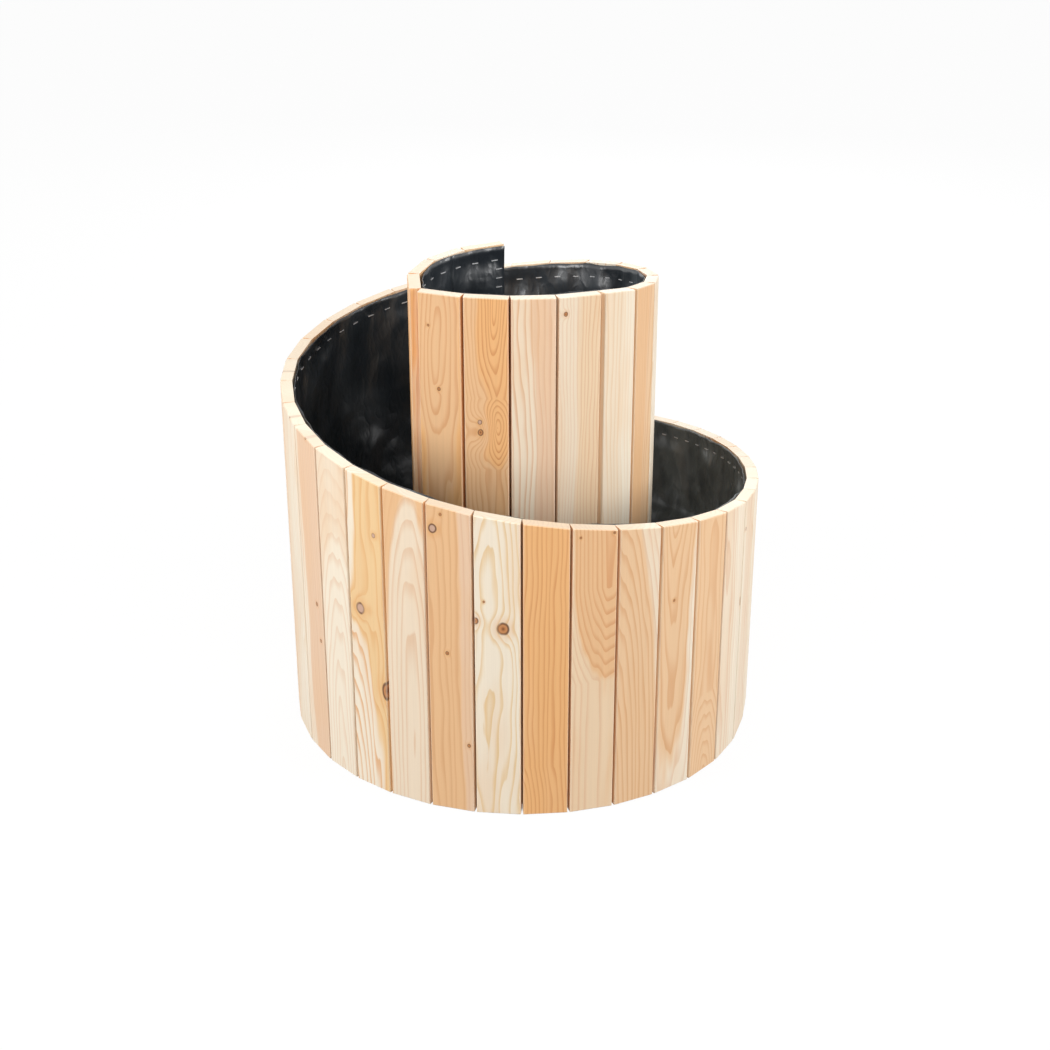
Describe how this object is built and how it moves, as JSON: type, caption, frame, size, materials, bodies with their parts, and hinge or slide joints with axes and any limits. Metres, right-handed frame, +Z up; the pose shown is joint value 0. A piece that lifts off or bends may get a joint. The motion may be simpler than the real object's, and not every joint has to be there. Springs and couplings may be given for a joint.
{
  "type": "herb spiral raised bed",
  "caption": "Free-standing herb spiral: one band of upright boards stapled to dark foil winds round a tall open column and its rim falls steadily to a low outer end.",
  "frame": {"origin": "on the ground, in the middle of the bed's outline", "axes": "+Z up; -Y is the front, the side seen in the picture; the column stands a little behind the middle; the low end is at the back"},
  "size_m": [0.8153, 0.917, 0.8],
  "materials": {
    "larch": "planed larch, untreated",
    "foil": "thin dark liner, wrinkled, half gloss",
    "staple": "bright wire"
  },
  "bodies": {
    "bed": {"board_02": "larch", "board_03": "larch", "board_04": "larch", "board_05": "larch", "board_06": "larch", "board_07": "larch", "board_08": "larch", "board_09": "larch", "board_10": "larch", "board_11": "larch", "board_12": "larch", "board_13": "larch", "board_14": "larch", "board_15": "larch", "board_16": "larch", "board_17": "larch", "board_18": "larch", "board_19": "larch", "board_20": "larch", "board_21": "larch", "board_22": "larch", "board_23": "larch", "board_24": "larch", "board_25": "larch", "board_26": "larch", "board_27": "larch", "board_28": "larch", "board_29": "larch", "board_30": "larch", "board_31": "larch", "board_32": "larch", "board_33": "larch", "board_34": "larch", "board_35": "larch", "board_36": "larch", "board_37": "larch", "board_38": "larch", "board_39": "larch", "board_40": "larch", "board_41": "larch", "board_42": "larch", "board_43": "larch", "board_44": "larch", "board_45": "larch", "board_46": "larch", "board_47": "larch", "board_48": "larch", "board_49": "larch", "board_50": "larch", "board_51": "larch", "foil": "foil", "staples": "staple"},
    "high_end": {"board_01": "larch", "foil_high_end": "foil", "staples_high_end": "staple"},
    "low_end": {"board_52": "larch", "foil_low_end": "foil", "staples_low_end": "staple"}
  },
  "joints": [
    {"name": "high_end_fold", "type": "hinge", "parent": "bed", "child": "high_end", "pos_m": [-0.09983, 0.04563, 0], "axis": [0, 0, 1], "range_deg": [-60, 23.5]},
    {"name": "low_end_fold", "type": "hinge", "parent": "bed", "child": "low_end", "pos_m": [-0.02103, 0.37269, 0], "axis": [0, 0, 1], "range_deg": [-22.9, 0]}
  ]
}
